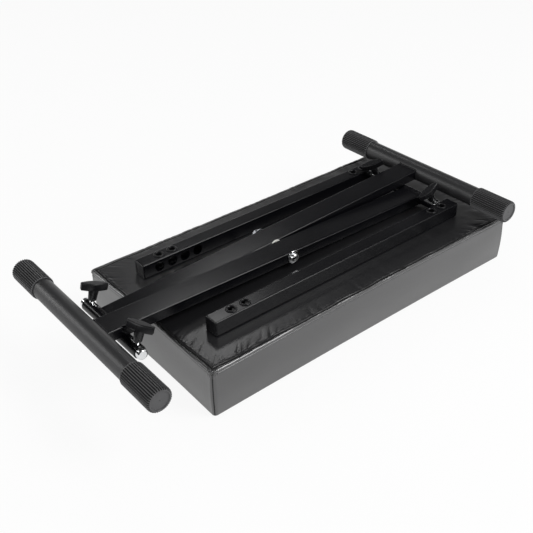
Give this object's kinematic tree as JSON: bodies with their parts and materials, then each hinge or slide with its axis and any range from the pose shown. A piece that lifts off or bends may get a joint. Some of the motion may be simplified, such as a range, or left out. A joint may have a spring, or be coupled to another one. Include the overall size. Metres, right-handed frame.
{
  "type": "folding keyboard bench",
  "caption": "Padded rectangular bench on a scissor frame, folded flat and lying on its seat, with latch holes for its heights and pins with T handles.",
  "frame": {"origin": "middle of the sitting face, which lies on the floor in the stored pose", "axes": "+X along the seat from the latching end to the hinged end, +Y across it, +Z away from the sitting face, towards the frame"},
  "size_m": [0.7201, 0.372, 0.1355],
  "materials": {
    "black_vinyl": "satin",
    "plywood": "raw",
    "black_steel": "semi-gloss powder coat",
    "foot_steel": "satin powder coat",
    "black_rubber": "matte",
    "black_plastic": "fine texture",
    "bright_zinc": "bright zinc plate",
    "dark_zinc": "dull zinc plate",
    "white_nylon": "plain"
  },
  "bodies": {
    "seat": {"seat_cushion": "black_vinyl", "seat_board": "plywood", "underside_panel": "black_vinyl", "rail_near": "black_steel", "rail_far": "black_steel", "rail_plug_near_left": "black_plastic", "rail_plug_near_right": "black_plastic", "rail_plug_far_left": "black_plastic", "rail_plug_far_right": "black_plastic", "seat_screw_near_1": "dark_zinc", "seat_screw_near_2": "dark_zinc", "seat_screw_near_3": "dark_zinc", "seat_screw_near_4": "dark_zinc", "seat_screw_far_1": "dark_zinc", "seat_screw_far_2": "dark_zinc", "seat_screw_far_3": "dark_zinc", "seat_screw_far_4": "dark_zinc", "tee_nut_near_1": "bright_zinc", "tee_nut_near_2": "bright_zinc", "tee_nut_near_3": "bright_zinc", "tee_nut_near_4": "bright_zinc", "tee_nut_far_1": "bright_zinc", "tee_nut_far_2": "bright_zinc", "tee_nut_far_3": "bright_zinc", "tee_nut_far_4": "bright_zinc"},
    "leg_a": {"leg_a_tube": "black_steel", "pivot_sleeve_a": "dark_zinc", "leg_a_cross_tube": "black_steel", "leg_a_pin_stop": "dark_zinc", "leg_a_foot_tube": "foot_steel", "leg_a_cap_near": "black_rubber", "leg_a_cap_far": "black_rubber", "pivot_bolt": "bright_zinc", "pivot_washer_near": "bright_zinc", "pivot_washer_far": "bright_zinc", "pivot_spacer": "white_nylon", "pivot_nut": "bright_zinc"},
    "leg_b": {"leg_b_tube": "black_steel", "pivot_sleeve_b": "dark_zinc", "leg_b_cross_tube": "black_steel", "leg_b_pin_stop": "dark_zinc", "leg_b_foot_tube": "foot_steel", "leg_b_cap_near": "black_rubber", "leg_b_cap_far": "black_rubber"},
    "locking_pin_a_near": {"pin_a_near": "bright_zinc"},
    "locking_pin_a_far": {"pin_a_far": "bright_zinc"},
    "locking_pin_b_near": {"pin_b_near": "bright_zinc"},
    "locking_pin_b_far": {"pin_b_far": "bright_zinc"},
    "t_handle_a_near": {"handle_a_near": "black_plastic", "stud_a_near": "bright_zinc"},
    "t_handle_a_far": {"handle_a_far": "black_plastic", "stud_a_far": "bright_zinc"},
    "t_handle_b_near": {"handle_b_near": "black_plastic", "stud_b_near": "bright_zinc"},
    "t_handle_b_far": {"handle_b_far": "black_plastic", "stud_b_far": "bright_zinc"}
  },
  "joints": [
    {"name": "fold", "type": "hinge", "parent": "seat", "child": "leg_a", "pos_m": [0.23, 0, 0.092], "axis": [0, 1, 0], "range_deg": [0, 47.45]},
    {"name": "scissor", "type": "hinge", "parent": "leg_a", "child": "leg_b", "pos_m": [-0.06292, 0, 0.09903], "axis": [0, 1, 0], "range_deg": [-94, 0]},
    {"name": "pin_a_near_slide", "type": "slide", "parent": "leg_a", "child": "locking_pin_a_near", "axis": [0, -1, 0], "range_m": [-0.006, 0]},
    {"name": "pin_a_far_slide", "type": "slide", "parent": "leg_a", "child": "locking_pin_a_far", "axis": [0, 1, 0], "range_m": [-0.006, 0]},
    {"name": "pin_b_near_slide", "type": "slide", "parent": "leg_b", "child": "locking_pin_b_near", "axis": [0, -1, 0], "range_m": [-0.0015, 0.0045]},
    {"name": "pin_b_far_slide", "type": "slide", "parent": "leg_b", "child": "locking_pin_b_far", "axis": [0, 1, 0], "range_m": [-0.0015, 0.0045]},
    {"name": "handle_a_near_turn", "type": "hinge", "parent": "locking_pin_a_near", "child": "t_handle_a_near", "pos_m": [0.23, -0.0655, 0.092], "axis": [-0.4791, 0, 0.8778], "range_deg": [-90, 90]},
    {"name": "handle_a_far_turn", "type": "hinge", "parent": "locking_pin_a_far", "child": "t_handle_a_far", "pos_m": [0.23, 0.0655, 0.092], "axis": [-0.4791, 0, 0.8778], "range_deg": [-90, 90]},
    {"name": "handle_b_near_turn", "type": "hinge", "parent": "locking_pin_b_near", "child": "t_handle_b_near", "pos_m": [-0.35568, -0.061, 0.08725], "axis": [0.304, 0, 0.9527], "range_deg": [-90, 90]},
    {"name": "handle_b_far_turn", "type": "hinge", "parent": "locking_pin_b_far", "child": "t_handle_b_far", "pos_m": [-0.35568, 0.061, 0.08725], "axis": [0.304, 0, 0.9527], "range_deg": [-90, 90]}
  ],
  "couplings": [
    {"joint": "scissor", "follows": "fold", "ratio": -1.9804}
  ]
}
